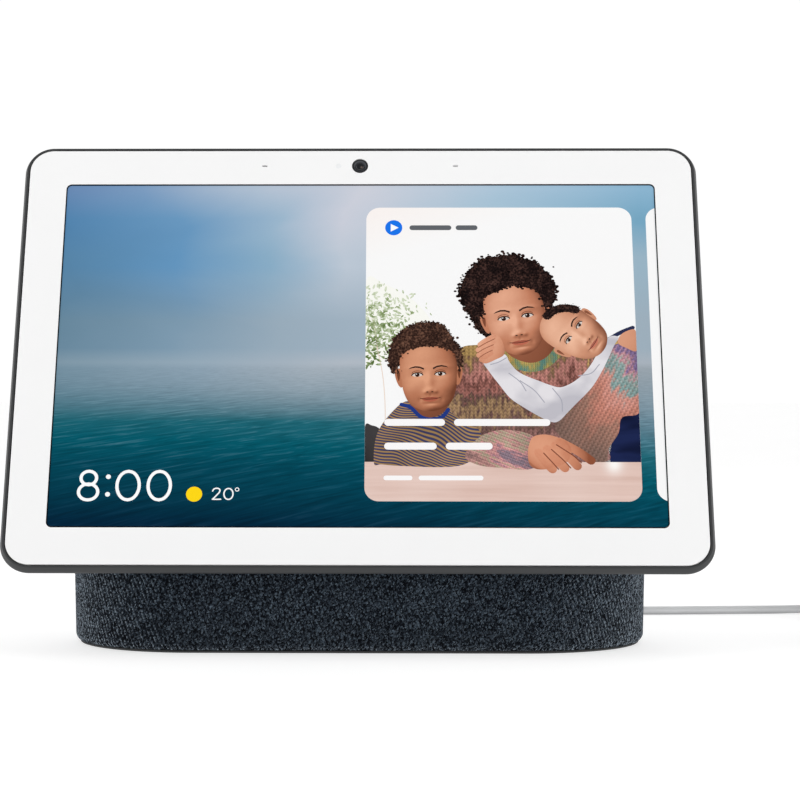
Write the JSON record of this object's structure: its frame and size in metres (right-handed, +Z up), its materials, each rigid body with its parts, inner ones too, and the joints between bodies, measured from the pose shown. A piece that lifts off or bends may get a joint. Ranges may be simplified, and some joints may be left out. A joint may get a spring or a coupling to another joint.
{
  "type": "smart display",
  "caption": "Ten-inch smart display: tilted touch screen with white glass bezel and camera, on a wide fabric-covered speaker base, with its power lead and wall adapter.",
  "frame": {"origin": "on the table under the middle of the display and base, without the power lead", "axes": "+X to the right of someone looking at the screen, +Y towards the back, +Z up; the screen faces -Y and leans back 25.2 degrees"},
  "size_m": [0.372, 0.1661, 0.1826],
  "materials": {
    "bezel_glass": "gloss",
    "lens_glass": "gloss",
    "screen": "gloss",
    "reflector": "satin",
    "housing_plastic": "satin",
    "control_plastic": "satin",
    "knit_fabric": "matte",
    "black_plastic": "matte",
    "lead_plastic": "satin",
    "adapter_plastic": "satin",
    "tie_fabric": "matte",
    "steel": "satin",
    "aluminium": "satin",
    "magnet": "matte",
    "rubber": "matte",
    "foot_rubber": "matte",
    "cone": "matte",
    "circuit_board": "satin",
    "flex": "satin"
  },
  "bodies": {
    "chassis": {"adapter_blade_left": "steel", "adapter_blade_right": "steel", "adapter_strain_relief": "lead_plastic", "backlight_unit": "reflector", "base_plate": "housing_plastic", "base_screw_1": "steel", "base_screw_2": "steel", "base_screw_3": "steel", "base_screw_4": "steel", "base_shell": "black_plastic", "camera_lens": "lens_glass", "camera_module": "black_plastic", "cord_coil": "lead_plastic", "cord_tie": "tie_fabric", "cover_glass": "bezel_glass", "dc_jack": "black_plastic", "dc_plug": "lead_plastic", "display_flex_cable": "flex", "fabric_cover": "knit_fabric", "glass_gasket": "rubber", "heat_spreader": "aluminium", "jack_sleeve": "black_plastic", "lcd_panel": "screen", "light_sensor": "circuit_board", "logic_board": "circuit_board", "microphone_left": "circuit_board", "microphone_right": "circuit_board", "mid_frame": "steel", "plug_strain_relief": "lead_plastic", "power_adapter": "adapter_plastic", "power_board": "circuit_board", "power_cord": "lead_plastic", "power_cord_adapter_end": "lead_plastic", "privacy_switch_board": "circuit_board", "rear_housing": "housing_plastic", "rubber_foot": "foot_rubber", "stand_screw_1": "steel", "stand_screw_2": "steel", "stand_screw_3": "steel", "stand_screw_4": "steel", "tweeter_left": "black_plastic", "tweeter_right": "black_plastic", "volume_board": "circuit_board", "wifi_antenna_left": "flex", "wifi_antenna_right": "flex", "woofer_basket": "steel", "woofer_magnet": "magnet", "woofer_surround": "rubber"},
    "privacy_switch": {"privacy_switch": "control_plastic"},
    "volume_rocker": {"volume_rocker": "control_plastic"},
    "woofer_cone": {"woofer_cone": "cone"}
  },
  "joints": [
    {"name": "privacy_switch_slide", "type": "slide", "parent": "chassis", "child": "privacy_switch", "axis": [1, 0, 0], "range_m": [0, 0.004]},
    {"name": "volume_rocker_press", "type": "hinge", "parent": "chassis", "child": "volume_rocker", "pos_m": [0.098, 0.00606, 0.12789], "axis": [1, 0, 0], "range_deg": [-2, 2], "stiffness_Nm_per_rad": 0.5},
    {"name": "woofer_cone_travel", "type": "slide", "parent": "chassis", "child": "woofer_cone", "axis": [0, 1, 0], "range_m": [-0.003, 0.003], "stiffness_N_per_m": 1500}
  ]
}
